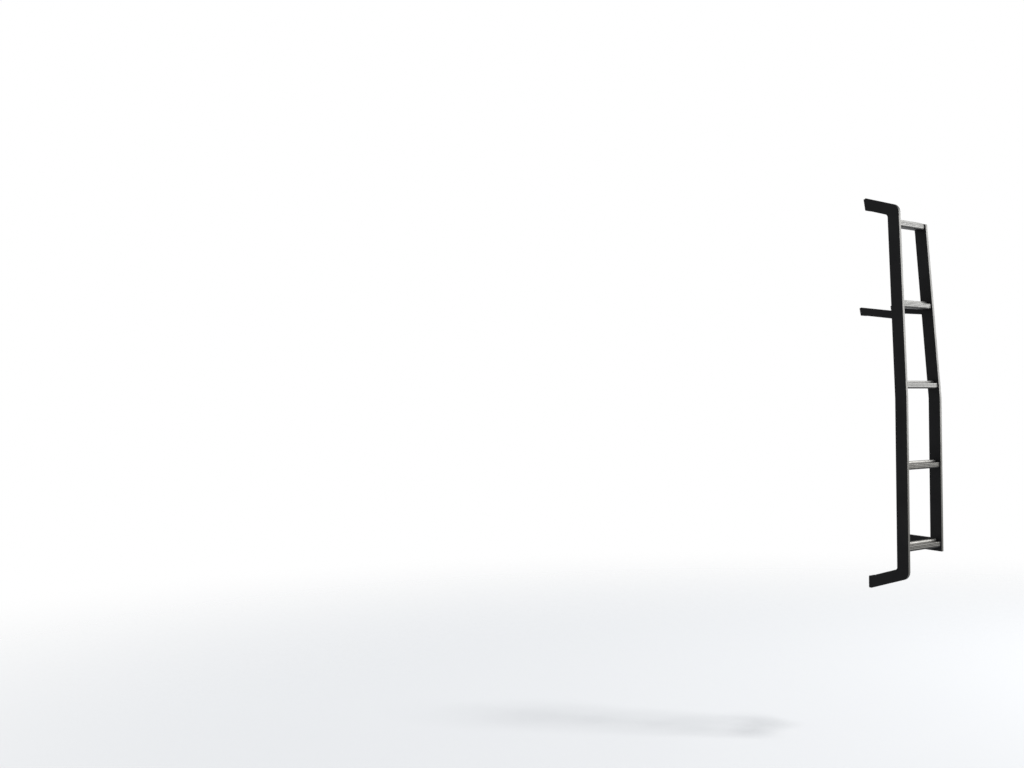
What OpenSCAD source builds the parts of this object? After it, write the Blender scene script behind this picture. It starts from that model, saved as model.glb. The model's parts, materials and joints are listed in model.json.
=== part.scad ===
// Vehicle door ladder: two flat-sided rails, five ribbed rungs and five bolted feet.
// Origin: middle of the contact face of the lower left foot.
// +X runs to the right as the climber sees it, +Y runs towards the door, +Z is up.

/* [Rails] */
// Outer face to outer face of the lower rails
ladder_w = 282; // [260:1:320]
// Distance from the door face at the lower foot to the rear face of the rails
standoff = 195; // [185:1:210]
// Width of a rail across its flat side
rail_d = 55.5; // [52:0.5:58]
// Thickness of a rail
rail_t = 16; // [14:1:20]
// Rounding of the long edges of the separate arms and of the rungs
edge_r = 3; // [1:0.5:4]
// Height of the bend above the lower left foot
kink_z = 799; // [780:1:820]
// Forward lean of both rails above the bend, in degrees
lean = 1.9; // [0.5:0.1:3]
// Inward lean of the right rail above the bend, in degrees
taper = 4.3; // [2:0.1:5]
// Height of the square corner that the lower left bend rounds off
lower_corner_z = 31; // [25:1:40]
// Height of the square corner that the upper left bend rounds off
upper_corner_z = 1625; // [1615:1:1635]
// Outer radius of the lower left corner
lower_corner_r = 38; // [25:1:45]
// Outer radius of the upper left corner
upper_corner_r = 38; // [25:1:45]
// Inner radius of the lower left corner
lower_fillet_r = 11; // [6:1:16]
// Inner radius of the upper left corner
upper_fillet_r = 15; // [8:1:18]
// Lower end of the right rail at its rear face
right_end_z = 124; // [110:1:135]
// Upper end of the right rail at its rear face
right_top_z = 1560; // [1555:1:1570]
// Upward slope of the end cut at the top of the right rail, in degrees
right_top_cut = 14.6; // [5:0.1:20]

/* [Arms] */
// Height of the top and bottom arms of the left rail
end_arm_h = 50.5; // [46:0.5:54]
// Rise of the top arm towards the door, in degrees
top_arm_rise = 17.1; // [12:0.1:20]
// Fall of the bottom arm towards the door, in degrees
bottom_arm_fall = 17.3; // [12:0.1:20]
// Height of the two middle arms
middle_arm_h = 34; // [30:1:38]
// Rise of the left middle arm towards the door, in degrees
left_middle_rise = 8.5; // [6:0.1:11]
// Underside of the left middle arm where it meets the rail
left_middle_z = 1137; // [1130:1:1145]
// Rise of the right middle arm towards the door, in degrees
right_middle_rise = 5.5; // [3:0.1:7]
// Underside of the right middle arm where it meets the rail
right_middle_z = 1170; // [1165:1:1175]
// Height of the right lower arm
right_lower_h = 56; // [50:1:60]
// Rise of the right lower arm towards the door, in degrees
right_lower_rise = 2.6; // [1:0.1:5]

/* [Feet] */
// Width of a foot plate, which runs to the right from its arm
foot_w = 46; // [44:1:56]
// Thickness of a foot plate
plate_t = 5; // [4:0.5:8]
// Thickness of a rubber pad
pad_t = 4; // [3:0.5:6]
// Corner radius of plates and pads
foot_r = 4; // [3:0.5:6]
// Height of the plates on the left rail's own arms and on the right lower arm
tall_foot_h = 52; // [48:1:54]
// Height of the plates on the two middle arms
short_foot_h = 35; // [31:1:36]
// Radius of the foot bolt holes
bolt_hole_r = 4.5; // [4:0.25:5]
// Distance between the two bolt holes of a tall foot
bolt_gap = 20; // [18:1:22]
// Distance from the arm's left face to the bolt holes
bolt_inset = 31; // [30:1:34]
// Door face at the left middle foot, measured forward from the lower feet
left_middle_face_y = 28.5; // [24:0.5:32]
// Door face at the right middle foot, measured forward from the lower feet
right_middle_face_y = 24; // [20:0.5:28]
// Forward lean of the door face at the middle feet, in degrees
middle_face_lean = 10; // [8:0.5:12]
// Forward lean of the door face at the top foot, in degrees
top_face_lean = 9; // [7:0.5:12]

/* [Rungs] */
// Underside of the lowest rung
first_rung_z = 144; // [140:1:150]
// Distance from one rung to the next
rung_pitch = 348; // [340:1:349]
// Depth of a rung from its nose to its front face
rung_d = 45; // [42:1:47]
// Height of a rung at its tread
rung_h = 33; // [30:1:36]
// Depth of the lower nose along the rear of a rung
nose_d = 20; // [16:1:24]
// Height of the nose
nose_h = 24; // [20:1:26]
// Distance of the nose behind the rear face of the rails
nose_set_in = 5.5; // [3:0.5:7]
// Wall of the hollow rung section
rung_wall = 2.6; // [2:0.1:3.5]
// Number of grip ribs on the tread
grip_ribs = 6; // [4:1:7]
// Radius of a grip rib
grip_rib_r = 1.1; // [0.8:0.1:1.3]
// Number of grooves in the nose
nose_grooves = 3; // [2:1:3]
// Width of a groove in the nose
groove_w = 2.4; // [1.5:0.1:3]
// Depth of a groove in the nose
groove_deep = 1.2; // [0.8:0.1:1.5]

/* [Hidden] */
$fn = 48;
eps = 0.01;
// Distance by which a corner's arc runs past the two edges that it joins
bite = 0.05;
rear_y = -standoff;
// Outer faces of the rails, with the middle of a left foot on x = 0
left_x = -foot_w / 2;
right_x = left_x + ladder_w;
inner_left = left_x + rail_t;
inner_right = right_x - rail_t;
lower_len = kink_z - lower_corner_z;
upper_len = (upper_corner_z - kink_z) / cos(lean);
// Stack of plate and pad in front of an arm
foot_stack = plate_t + pad_t;
// Long enough to pass any cutting plane
far = 400;
// Middle of each foot's contact face, as [y, z]
lower_left_face = [0, 0];
middle_left_face = [left_middle_face_y, 1179];
top_face = [0.5, 1646];
lower_right_face = [0, 160];
middle_right_face = [right_middle_face_y, 1198];

// Rear face of the rails at a height
function rear_at(z) = rear_y + max(0, z - kink_z) * tan(lean);

// Rectangle with round corners, from the origin
module rounded_rect(size, r) {
  translate([r, 0]) square([size[0] - 2 * r, size[1]]);
  translate([0, r]) square([size[0], size[1] - 2 * r]);
  for (x = [r, size[0] - r], y = [r, size[1] - r])
    translate([x, y]) circle(r);
}

// Flat bar that runs up from the origin, with its outer edge on y = 0
module flat_bar(length, depth) {
  linear_extrude(length) rounded_rect([rail_t, depth], edge_r);
}

// Plate with a flat outline in the plane of a rail, where x is depth and y is height
module rail_plate() {
  rotate([90, 0, 90])
    linear_extrude(rail_t)
      children();
}

// Everything in front of the back of a foot plate, which is where an arm stops
module door_side(face, face_lean, set_back) {
  translate([-far, face[0], face[1]])
    rotate([-face_lean, 0, 0])
      translate([0, -set_back, -far / 2])
        cube([4 * far, far, far]);
}

// Outline of half of the left rail: the rail runs up along x = 0 from the origin, and an
// arm leaves its top along +x at a rise. Radius r rounds the outer corner, and a fillet
// the inner one.
module bent_bar(length, rise, r, fillet) {
  slope = tan(rise);
  arc_x = r - bite;
  arc_y = length - arc_x * tan(45 - rise / 2);
  inner_y = length + rail_d * slope - end_arm_h / cos(rise);
  fillet_x = rail_d + fillet - bite;
  fillet_y = length + fillet_x * slope - (end_arm_h + fillet - bite) / cos(rise);
  difference() {
    union() {
      square([rail_d, length]);
      translate([0, length])
        rotate(rise)
          translate([0, -end_arm_h])
            square([standoff + rail_t, end_arm_h]);
      difference() {
        polygon([
          [fillet_x, fillet_y],
          [fillet_x - 2 * fillet * sin(rise), fillet_y + 2 * fillet * cos(rise)],
          [rail_d - fillet, inner_y + fillet],
          [rail_d - fillet, fillet_y]
        ]);
        translate([fillet_x, fillet_y]) circle(fillet, $fn = 96);
      }
    }
    difference() {
      polygon([
        [arc_x, arc_y],
        [arc_x - 2 * r * sin(rise), arc_y + 2 * r * cos(rise)],
        [-r, length + r],
        [-r, arc_y]
      ]);
      translate([arc_x, arc_y]) circle(r, $fn = 96);
    }
  }
}

// Outline of the left rail, from the kink's rear edge: x is depth and y is height
module left_outline() {
  mirror([0, 1]) bent_bar(lower_len, bottom_arm_fall, lower_corner_r, lower_fillet_r);
  rotate(-lean) bent_bar(upper_len, top_arm_rise + lean, upper_corner_r, upper_fillet_r);
}

module left_side_rail() {
  color("#141414")
    difference() {
      translate([left_x, rear_y, kink_z]) rail_plate() left_outline();
      door_side(lower_left_face, 0, foot_stack);
      door_side(top_face, top_face_lean, foot_stack);
    }
}

// Place of the right rail's upper length, which leans inwards from the kink.
// There the rail's inner rear edge starts on the origin.
module upper_right() {
  translate([right_x, rear_y, kink_z])
    rotate([0, -taper, 0])
      translate([-rail_t, 0, 0])
        children();
}

// Space from the inner face of the right rail outwards
module beyond_right_rail() {
  translate([inner_right, -far, -far])
    cube([far, 2 * far, far + kink_z]);
  upper_right()
    translate([0, -far, -rail_t])
      cube([far, 2 * far, 3 * far]);
}

module left_middle_arm() {
  color("#141414")
    difference() {
      translate([left_x, rear_at(left_middle_z) + rail_d / 2, left_middle_z])
        rotate([left_middle_rise - 90, 0, 0])
          translate([0, -middle_arm_h, 0])
            flat_bar(standoff + rail_t, middle_arm_h);
      translate([-far / 2, rear_y, kink_z])
        rotate([-lean, 0, 0])
          cube([far, rail_d, far * 2]);
      door_side(middle_left_face, middle_face_lean, foot_stack);
    }
}

module right_side_rail() {
  color("#141414")
    difference() {
      union() {
        translate([inner_right, rear_y, right_end_z - rail_t])
          cube([rail_t, rail_d, kink_z - right_end_z + rail_t]);
        upper_right()
          rail_plate()
            rotate(-lean)
              square([rail_d, upper_len]);
      }
      translate([0, rear_y, right_end_z])
        rotate([right_lower_rise, 0, 0])
          translate([0, -far, -far])
            cube([far, 2 * far, far]);
      translate([0, rear_at(right_top_z), right_top_z])
        rotate([right_top_cut, 0, 0])
          translate([0, -far, 0])
            cube([far, 2 * far, far]);
    }
}

module right_middle_arm() {
  color("#141414")
    difference() {
      upper_right()
        translate([0, rear_at(right_middle_z) - rear_y + rail_d, right_middle_z - kink_z])
          rotate([right_middle_rise - 90, 0, 0])
            translate([0, -middle_arm_h, -rail_t])
              flat_bar(standoff + rail_t, middle_arm_h);
      upper_right()
        rotate([-lean, 0, 0])
          translate([-far / 2, 0, 0])
            cube([far, rail_d, far * 2]);
      door_side(middle_right_face, middle_face_lean, foot_stack);
    }
}

module right_lower_arm() {
  color("#141414")
    difference() {
      translate([inner_right, rear_y, right_end_z])
        rotate([right_lower_rise - 90, 0, 0])
          translate([0, -right_lower_h, 0])
            flat_bar(standoff + rail_t, right_lower_h);
      translate([0, rear_y - rail_d, 0])
        cube([far, 2 * rail_d, far]);
      door_side(lower_right_face, 0, foot_stack);
    }
}

// Section of a rung: x is the depth from the nose and y is the height
module rung_section() {
  tread_d = rung_d - nose_d;
  rib_step = (tread_d - 2 * edge_r) / (grip_ribs - 1);
  groove_step = (nose_h - 2 * edge_r) / nose_grooves;
  difference() {
    union() {
      rounded_rect([nose_d + 2 * edge_r, nose_h], edge_r);
      translate([nose_d, 0]) rounded_rect([tread_d, rung_h], edge_r);
      translate([nose_d, 0]) square([2 * edge_r, nose_h]);
      for (i = [0:grip_ribs - 1])
        translate([nose_d + edge_r + i * rib_step, rung_h]) circle(grip_rib_r, $fn = 16);
      difference() {
        translate([nose_d - edge_r, nose_h - eps]) square([edge_r + eps, edge_r + eps]);
        translate([nose_d - edge_r, nose_h + edge_r]) circle(edge_r);
      }
    }
    for (i = [0:nose_grooves - 1])
      translate([-eps, edge_r + (i + 0.5) * groove_step - groove_w / 2])
        square([groove_deep + eps, groove_w]);
    translate([groove_deep + rung_wall, rung_wall])
      rounded_rect([nose_d - groove_deep - rung_wall, nose_h - 2 * rung_wall], 1.5);
    translate([nose_d + rung_wall, rung_wall])
      rounded_rect([tread_d - 2 * rung_wall, rung_h - 2 * rung_wall], 1.5);
  }
}

// Rung number i, counted from the bottom, cut to the right rail's inner face
module rung(i) {
  z = first_rung_z + i * rung_pitch;
  color("#a9acaf")
    difference() {
      translate([inner_left, rear_at(z + rung_h / 2) + nose_set_in, z])
        rotate([90, 0, 90])
          linear_extrude(inner_right - inner_left + rail_t)
            rung_section();
      beyond_right_rail();
    }
}

module bottom_rung() {
  rung(0);
}

module lower_rung() {
  rung(1);
}

module middle_rung() {
  rung(2);
}

module upper_rung() {
  rung(3);
}

module top_rung() {
  rung(4);
}

// Outline of a foot: x runs to the right from the arm's left face, y is the height
module foot_outline(height, holes) {
  difference() {
    translate([0, -height / 2]) rounded_rect([foot_w, height], foot_r);
    for (y = holes)
      translate([bolt_inset, y]) circle(bolt_hole_r);
  }
}

// Layer of a foot between two distances behind the contact face
module foot_layer(x, face, face_lean, back, front) {
  translate([x, face[0], face[1]])
    rotate([90 - face_lean, 0, 0])
      translate([0, 0, front])
        linear_extrude(back - front)
          children();
}

module tall_layer(x, face, face_lean, back, front) {
  foot_layer(x, face, face_lean, back, front)
    foot_outline(tall_foot_h, [-bolt_gap / 2, bolt_gap / 2]);
}

module short_layer(x, face, face_lean, back, front) {
  foot_layer(x, face, face_lean, back, front)
    foot_outline(short_foot_h, [0]);
}

// Inner face of the leaning right rail at a height
function inner_right_at(z) = inner_right - (z - kink_z) * tan(taper);

module left_top_foot() {
  color("#141414") tall_layer(left_x, top_face, top_face_lean, foot_stack, pad_t);
}

module left_middle_foot() {
  color("#141414")
    short_layer(left_x, middle_left_face, middle_face_lean, foot_stack, pad_t);
}

module left_bottom_foot() {
  color("#141414") tall_layer(left_x, lower_left_face, 0, foot_stack, pad_t);
}

module right_middle_foot() {
  color("#141414")
    short_layer(inner_right_at(middle_right_face[1]), middle_right_face,
                middle_face_lean, foot_stack, pad_t);
}

module right_bottom_foot() {
  color("#141414") tall_layer(inner_right, lower_right_face, 0, foot_stack, pad_t);
}

module left_top_pad() {
  color("#1b1b1b") tall_layer(left_x, top_face, top_face_lean, pad_t, 0);
}

module left_middle_pad() {
  color("#1b1b1b") short_layer(left_x, middle_left_face, middle_face_lean, pad_t, 0);
}

module left_bottom_pad() {
  color("#1b1b1b") tall_layer(left_x, lower_left_face, 0, pad_t, 0);
}

module right_middle_pad() {
  color("#1b1b1b")
    short_layer(inner_right_at(middle_right_face[1]), middle_right_face,
                middle_face_lean, pad_t, 0);
}

module right_bottom_pad() {
  color("#1b1b1b") tall_layer(inner_right, lower_right_face, 0, pad_t, 0);
}

left_side_rail();
left_middle_arm();
right_side_rail();
right_middle_arm();
right_lower_arm();
top_rung();
upper_rung();
middle_rung();
lower_rung();
bottom_rung();
left_top_foot();
left_middle_foot();
left_bottom_foot();
right_middle_foot();
right_bottom_foot();
left_top_pad();
left_middle_pad();
left_bottom_pad();
right_middle_pad();
right_bottom_pad();
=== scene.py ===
import json
import math

import bmesh
import bpy
from mathutils import Matrix, Vector


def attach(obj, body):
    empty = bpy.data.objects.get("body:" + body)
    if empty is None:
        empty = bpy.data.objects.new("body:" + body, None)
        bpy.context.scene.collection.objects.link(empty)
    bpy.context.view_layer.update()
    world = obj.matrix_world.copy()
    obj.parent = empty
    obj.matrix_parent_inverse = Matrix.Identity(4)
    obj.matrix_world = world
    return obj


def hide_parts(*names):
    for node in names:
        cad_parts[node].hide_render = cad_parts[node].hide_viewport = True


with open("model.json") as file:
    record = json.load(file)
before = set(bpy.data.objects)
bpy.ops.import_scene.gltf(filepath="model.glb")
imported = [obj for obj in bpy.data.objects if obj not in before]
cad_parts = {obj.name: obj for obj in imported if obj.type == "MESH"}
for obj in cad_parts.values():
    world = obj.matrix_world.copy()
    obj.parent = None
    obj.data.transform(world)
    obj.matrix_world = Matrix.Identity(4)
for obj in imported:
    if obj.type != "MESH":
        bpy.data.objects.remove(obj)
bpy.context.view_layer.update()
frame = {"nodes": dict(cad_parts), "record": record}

BODY = "root"

# Camera, as measured from the photograph: its place in metres, its focal length in
# pixels of a 1024 pixel wide frame, the directions to its right and into the view, and
# how far it sees
CAMERA_PLACE = Vector((-4.8338, -3.1748, 0.8018))
FOCAL_PIXELS = 1270
FRAME_WIDTH_PIXELS = 1024
SENSOR_WIDTH_MM = 36
CAMERA_RIGHT = Vector((0.754971, -0.655706, -0.008322))
CAMERA_FORWARD = Vector((0.655754, 0.754860, 0.013131))
CAMERA_REACH = 200

# Colours of the black coat: itself, under dust, chipped, and a painted highlight on the faces
# away from the door, at full strength and dimmer towards the bottom
COAT_DARK = (0.0045, 0.0045, 0.005)
COAT_LIGHT = (0.0095, 0.0095, 0.01)
COAT_DUST = (0.06, 0.057, 0.052)
COAT_CHIP = (0.075, 0.073, 0.07)
COAT_PAINTED_HIGHLIGHT = (0.14, 0.138, 0.132)
COAT_PAINTED_HIGHLIGHT_LOW = (0.1, 0.098, 0.09)

# Colours of the rungs: drawn metal, dull metal and metal darker towards the bottom, stains and
# painted shade behind the nose, the worn edge of the tread, painted shade in the floors of the
# grooves, and painted shade underneath
METAL_DARK = (0.24, 0.238, 0.23)
METAL_LIGHT = (0.33, 0.328, 0.317)
METAL_DULL = (0.2, 0.198, 0.19)
METAL_LOW_DARK = (0.15, 0.145, 0.132)
METAL_STAIN_AND_SHADE = (0.06, 0.058, 0.054)
METAL_WORN = (0.52, 0.51, 0.48)
GROOVE_SHADE = (0.016, 0.015, 0.013)
RUNG_UNDERSIDE_SHADE = (0.007, 0.007, 0.0075)

# Colours of the blackened steel of the bolts and washers
BOLT_DARK = (0.02, 0.02, 0.021)
BOLT_LIGHT = (0.11, 0.108, 0.104)

# Heights in metres up to which the share low down is full, and from which there is none
LOW_FULL_Z = 0.52
LOW_END_Z = 0.82

# Places on a rung's section, as shares of its depth from the nose and of its height
GROOVE_DEPTHS = (0.008, 0.016, 0.045, 0.08)
RISER_DEPTHS = (0.3, 0.42)
TREAD_DEPTHS = (0.54, 0.64)
LIP_HEIGHTS = (0.12, 0.16)
CORNER_HEIGHTS = (0.67, 0.71, 0.77, 0.86)
EDGE_HEIGHTS = (0.8, 0.86)

# Stage and light, in metres, watts and degrees
GROUND_Z = -0.67
FLOOR_REACH = 30
FLOOR_FADE_START = 2.4
FLOOR_FADE_END = 7.0
FLOOR_COLOR = (0.86, 0.86, 0.86, 1)
SKY_COLOR = (0.93, 0.96, 1, 1)
SKY_STRENGTH = 0.66
SOFTBOX_PLACE = Vector((4.0, -2.7, 1.9))
SOFTBOX_TARGET = Vector((0.1, -0.1, 0.8))
SOFTBOX_WIDTH = 2.4
SOFTBOX_HEIGHT = 3.2
SOFTBOX_WATTS = 105
HIGH_LIGHT_FROM = Vector((2.2, -3.2, 4.6))
HIGH_LIGHT_SPREAD = 9
HIGH_LIGHT_STRENGTH = 1.2

ARMS = ("left_middle_arm", "right_middle_arm", "right_lower_arm")
RUNGS = ("top_rung", "upper_rung", "middle_rung", "lower_rung", "bottom_rung")
FEET = ("left_top_foot", "left_middle_foot", "left_bottom_foot",
        "right_middle_foot", "right_bottom_foot")
PADS = tuple(name.replace("_foot", "_pad") for name in FEET)

# The piece whose end carries each foot
FOOT_ARM = {
    "left_top": "left_side_rail",
    "left_middle": "left_middle_arm",
    "left_bottom": "left_side_rail",
    "right_middle": "right_middle_arm",
    "right_bottom": "right_lower_arm",
}

# Rounding of the edges, and the distance under which the right rail's corners at its bend
# become one, so that they don't hold the rounding back
RAIL_EDGE = 0.002
PLATE_EDGE = 0.0007
PAD_EDGE = 0.0009
EDGE_SEGMENTS = 4
KINK_WELD = 0.0018
CORNER_WELD = 1e-6

# Angles between faces in degrees: up to which they are one, and from which their edge is
# rounded or stays sharp in the shading, on copies of CAD nodes and on turned forms
FLAT_ANGLE = 0.4
SHARP_ANGLE = 35
RING_SHARP_ANGLE = 28

# How squarely a face has to face a direction to be an arm's end there, from 0 to 1
END_FACING = 0.98

# The left rail's edges that lie wholly on the door side of this plane stay sharp
DOOR_ZONE_Y = -0.03

# Thickness of a foot plate and its pad
FOOT_STACK = 0.009

# M8 bolts and their washers
BOLT_SEGMENTS = 48
SHANK_RADIUS = 0.004
SHANK_TAPER = 0.0006
SHANK_RECESS = 0.0002
SHANK_TIP_SHARE = 0.9
HEAD_APOTHEM = 0.0065
HEAD_FLAT_RADIUS = 0.0061
HEAD_INNER_SHARE = 0.5
HEAD_HEIGHT = 0.0053
HEAD_CHAMFER = 30
WASHER_RADIUS = 0.008
WASHER_THICKNESS = 0.0016
WASHER_GAP = 0.0003
WASHER_EDGE = 0.0003

# Weld beads: their size, their ripples, how they thin out at an open end, and where they
# lie, as shares of the seam
BEAD_RADIUS = 0.0015
BEAD_RIPPLE = 0.00018
BEAD_PITCH = 0.0021
BEAD_STEP = 0.0005
BEAD_SIDES = 12
BEAD_TIP_SHARE = 0.35
BEAD_GROWTH = 0.2
ROOT_BEAD_SHARE = 0.94
PLATE_BEAD_START = 0.07
PLATE_BEAD_END = 0.93
SEAM_TOLERANCE = 0.001


# Materials

def new_material(name):
    material = bpy.data.materials.new(name)
    material.use_nodes = True
    tree = material.node_tree
    tree.nodes.clear()
    output = tree.nodes.new("ShaderNodeOutputMaterial")
    shader = tree.nodes.new("ShaderNodeBsdfPrincipled")
    tree.links.new(shader.outputs["BSDF"], output.inputs["Surface"])
    return material, tree, shader


def object_coordinates(tree, scale=(1, 1, 1)):
    place = tree.nodes.new("ShaderNodeTexCoord")
    mapping = tree.nodes.new("ShaderNodeMapping")
    mapping.inputs["Scale"].default_value = scale
    tree.links.new(place.outputs["Object"], mapping.inputs["Vector"])
    return mapping.outputs["Vector"]


def axis_value(tree, vector, axis):
    """One coordinate of a vector."""
    node = tree.nodes.new("ShaderNodeSeparateXYZ")
    tree.links.new(vector, node.inputs["Vector"])
    return node.outputs[axis]


def noise(tree, vector, scale, detail, roughness):
    node = tree.nodes.new("ShaderNodeTexNoise")
    node.inputs["Scale"].default_value = scale
    node.inputs["Detail"].default_value = detail
    node.inputs["Roughness"].default_value = roughness
    tree.links.new(vector, node.inputs["Vector"])
    return node.outputs["Fac"]


def grey(value):
    return (value, value, value)


def ramp(tree, value, stops):
    """Colours blended between stops, each a position and its colour."""
    node = tree.nodes.new("ShaderNodeValToRGB")
    elements = node.color_ramp.elements
    while len(elements) < len(stops):
        elements.new(0.5)
    for element, (position, color) in zip(elements, stops):
        element.position = position
        element.color = (*color, 1)
    tree.links.new(value, node.inputs["Fac"])
    return node.outputs["Color"]


def grades(tree, value, places, first, last):
    """A grey level that goes from the first to the last between two places."""
    return ramp(tree, value, [(places[0], grey(first)), (places[1], grey(last))])


def band(tree, value, places):
    """One between the middle two of four places, and zero outside the outer two."""
    return ramp(tree, value, list(zip(places, (grey(0), grey(1), grey(1), grey(0)))))


def feed(tree, value, socket):
    """Link a node's output to a socket, or set the socket to a colour."""
    if isinstance(value, bpy.types.NodeSocket):
        tree.links.new(value, socket)
    else:
        socket.default_value = (*value, 1)


def mix(tree, factor, first, second):
    node = tree.nodes.new("ShaderNodeMix")
    node.data_type = "RGBA"
    tree.links.new(factor, node.inputs[0])
    feed(tree, first, node.inputs[6])
    feed(tree, second, node.inputs[7])
    return node.outputs[2]


def math_node(tree, operation, first, second):
    node = tree.nodes.new("ShaderNodeMath")
    node.operation = operation
    tree.links.new(first, node.inputs[0])
    if isinstance(second, bpy.types.NodeSocket):
        tree.links.new(second, node.inputs[1])
    else:
        node.inputs[1].default_value = second
    return node.outputs["Value"]


def times(tree, first, second):
    return math_node(tree, "MULTIPLY", first, second)


def facing(tree, direction):
    """How far the surface faces a direction, from -1 to 1."""
    geometry = tree.nodes.new("ShaderNodeNewGeometry")
    dot = tree.nodes.new("ShaderNodeVectorMath")
    dot.operation = "DOT_PRODUCT"
    tree.links.new(geometry.outputs["Normal"], dot.inputs[0])
    dot.inputs[1].default_value = direction
    return dot.outputs["Value"]


def low_share(tree, vector):
    """One low down, fading to none below the middle rung."""
    return grades(tree, axis_value(tree, vector, "Z"), (LOW_FULL_Z, LOW_END_Z), 1, 0)


def bump(tree, shader, height, strength, distance):
    node = tree.nodes.new("ShaderNodeBump")
    node.inputs["Strength"].default_value = strength
    node.inputs["Distance"].default_value = distance
    tree.links.new(height, node.inputs["Height"])
    tree.links.new(node.outputs["Normal"], shader.inputs["Normal"])


def set_finish(tree, shader, color, metallic, roughness):
    """Link what a material works out to the shader's sockets."""
    tree.links.new(color, shader.inputs["Base Color"])
    tree.links.new(roughness, shader.inputs["Roughness"])
    if metallic is not None:
        tree.links.new(metallic, shader.inputs["Metallic"])


def black_coat():
    """Black powder coat: dust on top, small chips, and a painted highlight on the rear faces."""
    material, tree, shader = new_material("black_powder_coat")
    vector = object_coordinates(tree)
    clouds = noise(tree, vector, scale=7, detail=6, roughness=0.65)
    coat = ramp(tree, clouds, [(0.35, COAT_DARK), (0.75, COAT_LIGHT)])
    upward = grades(tree, facing(tree, (0, 0, 1)), (0.3, 0.9), 0, 1)
    patches = noise(tree, vector, scale=30, detail=6, roughness=0.7)
    dust = times(tree, upward, grades(tree, patches, (0.42, 0.72), 0, 0.8))
    specks = noise(tree, vector, scale=210, detail=3, roughness=0.6)
    chips = grades(tree, specks, (0.735, 0.75), 0, 1)
    chipped = mix(tree, chips, mix(tree, dust, coat, COAT_DUST), COAT_CHIP)
    # Painted highlight: faces turned to the rear are lighter and metallic, dimmer towards the
    # bottom
    toward_light = grades(tree, facing(tree, (0, -1, 0)), (0.75, 0.96), 0, 1)
    painted_highlight = mix(tree, low_share(tree, vector), COAT_PAINTED_HIGHLIGHT, COAT_PAINTED_HIGHLIGHT_LOW)
    handling = noise(tree, vector, scale=16, detail=5, roughness=0.6)
    set_finish(tree, shader,
               color=mix(tree, toward_light, chipped, painted_highlight),
               metallic=grades(tree, toward_light, (0, 1), 0, 0.75),
               roughness=grades(tree, handling, (0.3, 0.75), 0.32, 0.46))
    shader.inputs["Specular IOR Level"].default_value = 0.1
    grain = noise(tree, vector, scale=520, detail=3, roughness=0.5)
    bump(tree, shader, grain, strength=0.22, distance=0.0004)
    return material


def streaked_metal(tree, vector, lines, low):
    """Drawn aluminium with dull patches, and streaks of darker metal towards the bottom."""
    drawing = noise(tree, lines, scale=1, detail=3, roughness=0.6)
    drawn = ramp(tree, drawing, [(0.3, METAL_DARK), (0.7, METAL_LIGHT)])
    patches = noise(tree, vector, scale=14, detail=6, roughness=0.65)
    bare = mix(tree, grades(tree, patches, (0.45, 0.8), 0, 0.4), drawn, METAL_DULL)
    # Metal darker towards the bottom, in streaks
    streaks = noise(tree, lines, scale=0.5, detail=2, roughness=0.5)
    low_darkening = times(tree, low, grades(tree, streaks, (0.35, 0.6), 0.55, 1))
    return mix(tree, low_darkening, bare, METAL_LOW_DARK)


def stained_and_shaded(tree, depth, height, low, metal):
    """The metal with painted shade in the corner behind the nose, and dirt on top of the tread."""
    # Painted shade in the corner behind the nose
    corner = band(tree, height, CORNER_HEIGHTS)
    behind = grades(tree, depth, RISER_DEPTHS, 0, 0.45)
    corner_shaded = mix(tree, times(tree, corner, behind), metal, METAL_STAIN_AND_SHADE)
    tread = grades(tree, depth, TREAD_DEPTHS, 0, 1)
    soiled = times(tree, tread, grades(tree, low, (0, 1), 0.2, 0.8))
    return mix(tree, soiled, corner_shaded, METAL_STAIN_AND_SHADE)


def trodden(tree, vector, depth, height, low, metal):
    """The metal with the rear edge of the tread worn bright, most on the lowest rungs."""
    step = grades(tree, height, EDGE_HEIGHTS, 0, 0.95)
    edge = math_node(tree, "SUBTRACT", step, grades(tree, depth, TREAD_DEPTHS, 0, 1))
    worn = times(tree, edge, grades(tree, low, (0, 1), 0.15, 1))
    scuffs = noise(tree, vector, scale=60, detail=5, roughness=0.7)
    return mix(tree, times(tree, worn, grades(tree, scuffs, (0.3, 0.6), 0.5, 1)), metal, METAL_WORN)


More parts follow.
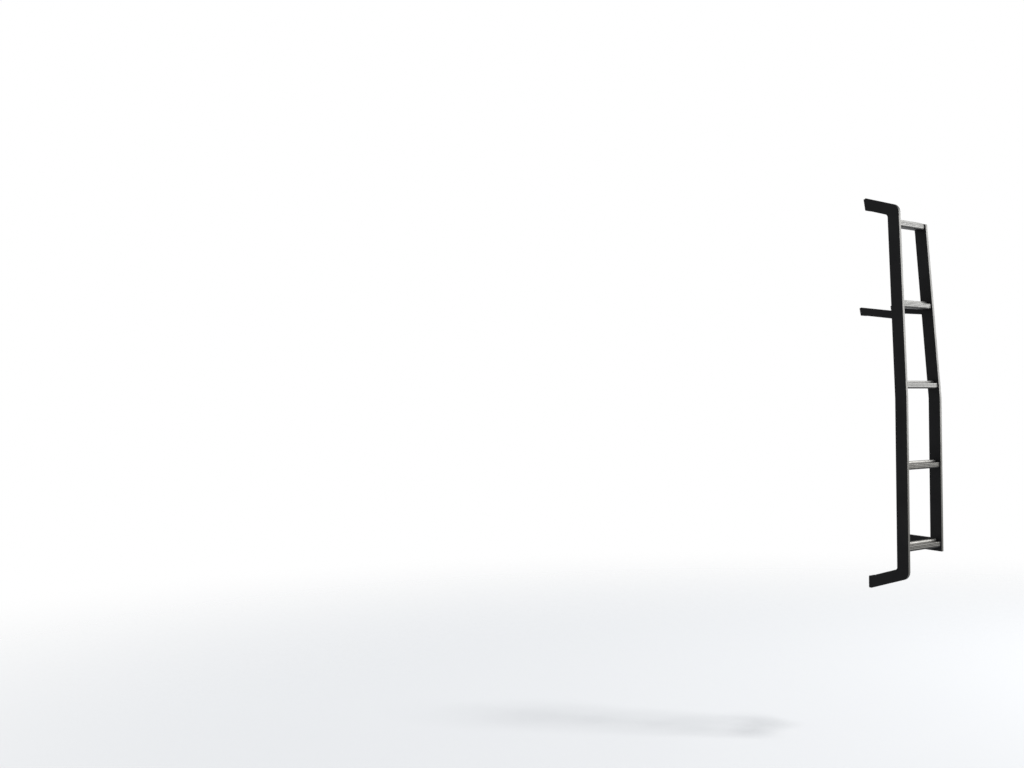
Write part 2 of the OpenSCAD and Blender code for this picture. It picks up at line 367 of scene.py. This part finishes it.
def rung_metal():
    """Extruded aluminium step: grey and worn above and behind, painted shade underneath and on the
    lip.

    The generated coordinates run over the rung's section, so they tell the floors of the
    nose's grooves, the nose's lower lip, the corner behind the nose and the tread. The
    value named low is one on the two lowest rungs and zero from the middle one up.
    """
    material, tree, shader = new_material("worn_extruded_aluminium")
    vector = object_coordinates(tree)
    lines = object_coordinates(tree, scale=(0.6, 380, 380))
    section = tree.nodes.new("ShaderNodeTexCoord").outputs["Generated"]
    depth = axis_value(tree, section, "Y")
    height = axis_value(tree, section, "Z")
    low = low_share(tree, vector)
    metal = streaked_metal(tree, vector, lines, low)
    metal = stained_and_shaded(tree, depth, height, low, metal)
    metal = trodden(tree, vector, depth, height, low, metal)
    # Painted shade in the floors of the nose's grooves, strongest low down
    groove_shade = times(tree, band(tree, depth, GROOVE_DEPTHS), grades(tree, low, (0, 1), 0.7, 1))
    metal = mix(tree, groove_shade, metal, GROOVE_SHADE)
    # Painted shade: faces turned down and the lowest band of the nose stay dark, the rest shows
    # metal
    ragged = times(tree, noise(tree, vector, scale=90, detail=4, roughness=0.6), 0.4)
    toward_light = math_node(tree, "ADD", facing(tree, (0, -0.75, 0.66)), ragged)
    above_lip = grades(tree, height, LIP_HEIGHTS, 0, 1)
    unshaded = times(tree, above_lip, grades(tree, toward_light, (0.42, 0.62), 0, 1))
    handling = noise(tree, vector, scale=30, detail=4, roughness=0.6)
    set_finish(tree, shader,
               color=mix(tree, unshaded, RUNG_UNDERSIDE_SHADE, metal),
               metallic=grades(tree, unshaded, (0, 1), 0, 0.65),
               roughness=grades(tree, handling, (0.3, 0.75), 0.42, 0.54))
    shader.inputs["Specular IOR Level"].default_value = 0.15
    grain = noise(tree, lines, scale=1, detail=2, roughness=0.5)
    bump(tree, shader, grain, strength=0.12, distance=0.0002)
    return material


def pad_rubber():
    """Matt black rubber with a fine moulded grain."""
    material, tree, shader = new_material("black_pad_rubber")
    vector = object_coordinates(tree)
    clouds = noise(tree, vector, scale=60, detail=5, roughness=0.6)
    marks = noise(tree, vector, scale=200, detail=3, roughness=0.5)
    set_finish(tree, shader,
               color=grades(tree, clouds, (0.3, 0.8), 0.012, 0.028),
               metallic=None,
               roughness=grades(tree, marks, (0.3, 0.7), 0.72, 0.9))
    shader.inputs["Specular IOR Level"].default_value = 0.3
    grain = noise(tree, vector, scale=900, detail=3, roughness=0.5)
    bump(tree, shader, grain, strength=0.4, distance=0.0004)
    return material


def black_bolt_steel():
    """Blackened steel of the bolts and washers, rubbed grey in places."""
    material, tree, shader = new_material("blackened_bolt_steel")
    vector = object_coordinates(tree)
    patches = noise(tree, vector, scale=160, detail=5, roughness=0.65)
    marks = noise(tree, vector, scale=90, detail=4, roughness=0.6)
    set_finish(tree, shader,
               color=ramp(tree, patches, [(0.4, BOLT_DARK), (0.75, BOLT_LIGHT)]),
               metallic=None,
               roughness=grades(tree, marks, (0.3, 0.75), 0.34, 0.52))
    shader.inputs["Metallic"].default_value = 0.7
    grain = noise(tree, vector, scale=700, detail=2, roughness=0.5)
    bump(tree, shader, grain, strength=0.1, distance=0.0002)
    return material


# Pieces

def set_material(piece, material):
    piece.data.materials.clear()
    piece.data.materials.append(material)


def shaded_mesh(name, shape, sharp_angle):
    """A mesh from a bmesh, which is freed, smooth but for its sharp edges."""
    mesh = bpy.data.meshes.new(name)
    shape.to_mesh(mesh)
    shape.free()
    for face in mesh.polygons:
        face.use_smooth = True
    mesh.set_sharp_from_angle(angle=math.radians(sharp_angle))
    return mesh


def add_piece(name, mesh, material):
    piece = bpy.data.objects.new(name, mesh)
    bpy.context.scene.collection.objects.link(piece)
    set_material(piece, material)
    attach(piece, BODY)
    return piece


def cad_shape(node, weld=CORNER_WELD):
    """A CAD node's faces without their triangles; corners nearer than the weld are one."""
    shape = bmesh.new()
    shape.from_mesh(frame["nodes"][node].data)
    bmesh.ops.remove_doubles(shape, verts=shape.verts, dist=weld)
    bmesh.ops.dissolve_limit(shape, angle_limit=math.radians(FLAT_ANGLE),
                             verts=shape.verts, edges=shape.edges)
    return shape


def softened(node, width, material, spare_ends=False, weld=CORNER_WELD):
    """A copy of a CAD node with its sharp edges rounded, in the node's place.

    Spared ends are the ones that stand on a foot, whose edges stay sharp.
    """
    shape = cad_shape(node, weld)
    if spare_ends:
        rounded = [edge for edge in shape.edges
                   if min(vert.co.y for vert in edge.verts) < DOOR_ZONE_Y]
    else:
        rounded = list(shape.edges)
    sharp = [edge for edge in rounded
             if len(edge.link_faces) == 2
             and edge.calc_face_angle(0) > math.radians(SHARP_ANGLE)]
    bmesh.ops.bevel(shape, geom=sharp, offset=width, segments=EDGE_SEGMENTS, profile=0.5,
                    affect="EDGES", clamp_overlap=True)
    mesh = shaded_mesh(node + "_surface", shape, SHARP_ANGLE)
    piece = add_piece(node + "_surface", mesh, material)
    smooth = piece.modifiers.new("weighted", "WEIGHTED_NORMAL")
    smooth.keep_sharp = True
    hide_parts(node)


def ring_stack(name, rings, closed, material):
    """A piece skinned over rings of points, closed into a loop or capped at both ends."""
    shape = bmesh.new()
    loops = [[shape.verts.new(point) for point in ring] for ring in rings]
    pairs = list(zip(loops, loops[1:]))
    if closed:
        pairs.append((loops[-1], loops[0]))
    else:
        shape.faces.new(loops[0])
        shape.faces.new(loops[-1])
    for first, second in pairs:
        for i in range(len(first)):
            j = (i + 1) % len(first)
            shape.faces.new((first[i], first[j], second[j], second[i]))
    bmesh.ops.recalc_face_normals(shape, faces=shape.faces)
    add_piece(name, shaded_mesh(name, shape, RING_SHARP_ANGLE), material)


def turned_rings(profile, place):
    """Rings of a turned form: each step gives a height and a radius.

    A radius may be a function of the angle, and a height one of the radius.
    """
    rings = []
    for height, radius in profile:
        ring = []
        for i in range(BOLT_SEGMENTS):
            angle = 2 * math.pi * i / BOLT_SEGMENTS
            reach = radius(angle) if callable(radius) else radius
            rise = height(reach) if callable(height) else height
            ring.append(place @ Vector((reach * math.cos(angle), reach * math.sin(angle), rise)))
        rings.append(ring)
    return rings


def hexagon(angle):
    """Distance from the middle of the bolt's head to its side at an angle."""
    sector = math.radians(60)
    return HEAD_APOTHEM / math.cos((angle + sector / 2) % sector - sector / 2)


def add_bolt(number, middle, axis, material):
    """Bolt and washer in one hole: the local z runs to the door from the plate's back."""
    turn = axis.to_track_quat("Z", "Y").to_matrix().to_4x4()
    place = Matrix.Translation(middle - axis * FOOT_STACK / 2) @ turn
    seat = -WASHER_THICKNESS
    top = seat - HEAD_HEIGHT
    chamfer = math.tan(math.radians(HEAD_CHAMFER))

    def chamfered(reach):
        return top + max(0, reach - HEAD_FLAT_RADIUS) * chamfer

    bolt = [
        (top, HEAD_FLAT_RADIUS * HEAD_INNER_SHARE),
        (top, HEAD_FLAT_RADIUS),
        (chamfered, hexagon),
        (seat, hexagon),
        (seat, SHANK_RADIUS),
        (FOOT_STACK - SHANK_TAPER, SHANK_RADIUS),
        (FOOT_STACK - SHANK_RECESS, SHANK_RADIUS * SHANK_TIP_SHARE),
    ]
    ring_stack("bolt_%d" % number, turned_rings(bolt, place), False, material)
    inner = SHANK_RADIUS + WASHER_GAP
    washer = [
        (0, inner),
        (0, WASHER_RADIUS),
        (seat + WASHER_EDGE, WASHER_RADIUS),
        (seat, WASHER_RADIUS - WASHER_EDGE),
        (seat, inner),
    ]
    ring_stack("washer_%d" % number, turned_rings(washer, place), True, material)


def bolt_holes():
    """Middle of each bolt hole and its direction towards the door, from the record."""
    return [(Vector(mount["pos_m"]), Vector(mount["axis"]))
            for mount in frame["record"]["mounts"] if mount["kind"] == "bore"]


def flat_end(node, direction, near=None):
    """Corners of a node's flat end that faces a direction, the nearest to a point."""
    shape = cad_shape(node)
    ends = [face for face in shape.faces if face.normal.dot(direction) > END_FACING]
    if near is not None:
        ends.sort(key=lambda face: (face.calc_center_median() - near).length)
    corners = [vert.co.copy() for vert in ends[0].verts]
    shape.free()
    return corners


def evenly_spaced(corners, closed):
    """Points along a line of corners, about one bead step apart."""
    ends = corners[1:] + corners[:1] if closed else corners[1:]
    points = []
    for start, end in zip(corners, ends):
        steps = max(1, round((end - start).length / BEAD_STEP))
        points += [start.lerp(end, i / steps) for i in range(steps)]
    if not closed:
        points.append(corners[-1])
    return points


def add_bead(name, corners, closed, material):
    """A weld bead with ripples across it, which thins out at an open end."""
    points = evenly_spaced(corners, closed)
    count = len(points)
    middle = sum(points, Vector()) / count
    rings = []
    for i, point in enumerate(points):
        before = points[i - 1] if closed or i else point
        after = points[(i + 1) % count] if closed or i < count - 1 else point
        along = (after - before).normalized()
        outward = (point - middle).normalized() if closed else Vector((1, 0, 0))
        across = along.cross(outward).normalized()
        outward = across.cross(along)
        ripple = BEAD_RIPPLE * abs(math.sin(math.pi * i * BEAD_STEP / BEAD_PITCH))
        radius = BEAD_RADIUS + ripple
        if not closed:
            radius *= min(1, BEAD_TIP_SHARE + BEAD_GROWTH * min(i, count - 1 - i))
        ring = []
        for side in range(BEAD_SIDES):
            angle = 2 * math.pi * side / BEAD_SIDES
            ring.append(point + radius * (math.cos(angle) * outward + math.sin(angle) * across))
        rings.append(ring)
    ring_stack(name, rings, closed, material)


def add_root_weld(arm, material):
    """Bead around the end of an arm where it meets its rail."""
    corners = flat_end(arm, Vector((0, -1, 0)))
    middle = sum(corners, Vector()) / len(corners)
    inset = [middle + (corner - middle) * ROOT_BEAD_SHARE for corner in corners]
    add_bead(arm + "_root_weld", inset, True, material)


def add_plate_weld(foot, arm, material):
    """Bead down the side of an arm's end, on the back of its foot plate."""
    mounts = {mount["name"]: mount for mount in frame["record"]["mounts"]}
    face = mounts[foot + "_face"]
    corners = flat_end(arm, Vector(face["axis"]), Vector(face["pos_m"]))
    right = max(corner.x for corner in corners)
    side = [corner for corner in corners if corner.x > right - SEAM_TOLERANCE]
    low = min(side, key=lambda corner: corner.z)
    high = max(side, key=lambda corner: corner.z)
    seam = [low.lerp(high, PLATE_BEAD_START), low.lerp(high, PLATE_BEAD_END)]
    add_bead(foot + "_plate_weld", seam, False, material)


# Stage, light and camera

def add_floor():
    """A pale floor that keeps the shadow and fades into the background far away."""
    mesh = bpy.data.meshes.new("floor")
    shape = bmesh.new()
    bmesh.ops.create_grid(shape, x_segments=2, y_segments=2, size=FLOOR_REACH)
    shape.to_mesh(mesh)
    shape.free()
    floor = bpy.data.objects.new("floor", mesh)
    floor.location.z = GROUND_Z
    bpy.context.scene.collection.objects.link(floor)
    material, tree, shader = new_material("pale_floor")
    shader.inputs["Base Color"].default_value = FLOOR_COLOR
    shader.inputs["Roughness"].default_value = 0.9
    shader.inputs["Specular IOR Level"].default_value = 0.1
    output = next(node for node in tree.nodes if node.type == "OUTPUT_MATERIAL")
    place = tree.nodes.new("ShaderNodeNewGeometry")
    distance = tree.nodes.new("ShaderNodeVectorMath")
    distance.operation = "LENGTH"
    tree.links.new(place.outputs["Position"], distance.inputs[0])
    fade = tree.nodes.new("ShaderNodeMapRange")
    fade.interpolation_type = "SMOOTHSTEP"
    fade.inputs["From Min"].default_value = FLOOR_FADE_START
    fade.inputs["From Max"].default_value = FLOOR_FADE_END
    tree.links.new(distance.outputs["Value"], fade.inputs["Value"])
    clear = tree.nodes.new("ShaderNodeBsdfTransparent")
    blend = tree.nodes.new("ShaderNodeMixShader")
    tree.links.new(fade.outputs["Result"], blend.inputs["Fac"])
    tree.links.new(shader.outputs["BSDF"], blend.inputs[1])
    tree.links.new(clear.outputs["BSDF"], blend.inputs[2])
    tree.links.new(blend.outputs["Shader"], output.inputs["Surface"])
    set_material(floor, material)


def set_world():
    """Even pale light, and a plain white background for camera and mirror rays."""
    world = bpy.data.worlds.new("studio")
    bpy.context.scene.world = world
    world.use_nodes = True
    tree = world.node_tree
    tree.nodes.clear()
    output = tree.nodes.new("ShaderNodeOutputWorld")
    light = tree.nodes.new("ShaderNodeBackground")
    light.inputs["Color"].default_value = SKY_COLOR
    light.inputs["Strength"].default_value = SKY_STRENGTH
    white = tree.nodes.new("ShaderNodeBackground")
    white.inputs["Color"].default_value = (1, 1, 1, 1)
    white.inputs["Strength"].default_value = 1
    path = tree.nodes.new("ShaderNodeLightPath")
    total = path.outputs["Is Camera Ray"]
    for ray in ("Is Glossy Ray", "Is Transmission Ray"):
        total = math_node(tree, "MAXIMUM", total, path.outputs[ray])
    blend = tree.nodes.new("ShaderNodeMixShader")
    tree.links.new(total, blend.inputs["Fac"])
    tree.links.new(light.outputs["Background"], blend.inputs[1])
    tree.links.new(white.outputs["Background"], blend.inputs[2])
    tree.links.new(blend.outputs["Shader"], output.inputs["Surface"])


def add_lamp(name, kind, energy, direction):
    """A lamp at the origin that shines in a direction."""
    data = bpy.data.lights.new(name, kind)
    data.energy = energy
    lamp = bpy.data.objects.new(name, data)
    lamp.rotation_mode = "QUATERNION"
    lamp.rotation_quaternion = direction.to_track_quat("-Z", "Y")
    bpy.context.scene.collection.objects.link(lamp)
    return lamp


def add_softbox():
    """A large soft light whose mirror image brightens the rear faces of the rails."""
    direction = SOFTBOX_TARGET - SOFTBOX_PLACE
    lamp = add_lamp("rear_right_softbox", "AREA", SOFTBOX_WATTS, direction)
    lamp.data.shape = "RECTANGLE"
    lamp.data.size = SOFTBOX_WIDTH
    lamp.data.size_y = SOFTBOX_HEIGHT
    lamp.location = SOFTBOX_PLACE
    lamp.visible_camera = False


def add_high_light():
    """Even soft light from one side of the sky."""
    lamp = add_lamp("high_light", "SUN", HIGH_LIGHT_STRENGTH, -HIGH_LIGHT_FROM)
    lamp.data.angle = math.radians(HIGH_LIGHT_SPREAD)


def add_camera():
    data = bpy.data.cameras.new("photo_view")
    data.sensor_fit = "HORIZONTAL"
    data.sensor_width = SENSOR_WIDTH_MM
    data.lens = FOCAL_PIXELS / FRAME_WIDTH_PIXELS * SENSOR_WIDTH_MM
    data.clip_end = CAMERA_REACH
    camera = bpy.data.objects.new("photo_view", data)
    right = CAMERA_RIGHT.normalized()
    back = -CAMERA_FORWARD.normalized()
    up = back.cross(right).normalized()
    right = up.cross(back)
    turn = Matrix((right, up, back)).transposed()
    camera.matrix_world = Matrix.Translation(CAMERA_PLACE) @ turn.to_4x4()
    bpy.context.scene.collection.objects.link(camera)
    bpy.context.scene.camera = camera


coat = black_coat()
metal = rung_metal()
rubber = pad_rubber()
steel = black_bolt_steel()

softened("left_side_rail", RAIL_EDGE, coat, spare_ends=True)
softened("right_side_rail", RAIL_EDGE, coat, weld=KINK_WELD)
for name in ARMS:
    set_material(frame["nodes"][name], coat)
for name in FEET:
    softened(name, PLATE_EDGE, coat)
for name in PADS:
    softened(name, PAD_EDGE, rubber)
for name in RUNGS:
    set_material(frame["nodes"][name], metal)
for name in ARMS:
    add_root_weld(name, coat)
for foot, arm in FOOT_ARM.items():
    add_plate_weld(foot, arm, coat)
for number, (middle, axis) in enumerate(bolt_holes(), 1):
    add_bolt(number, middle, axis, steel)

add_floor()
set_world()
add_softbox()
add_high_light()
add_camera()
bpy.context.scene.view_settings.view_transform = "Standard"
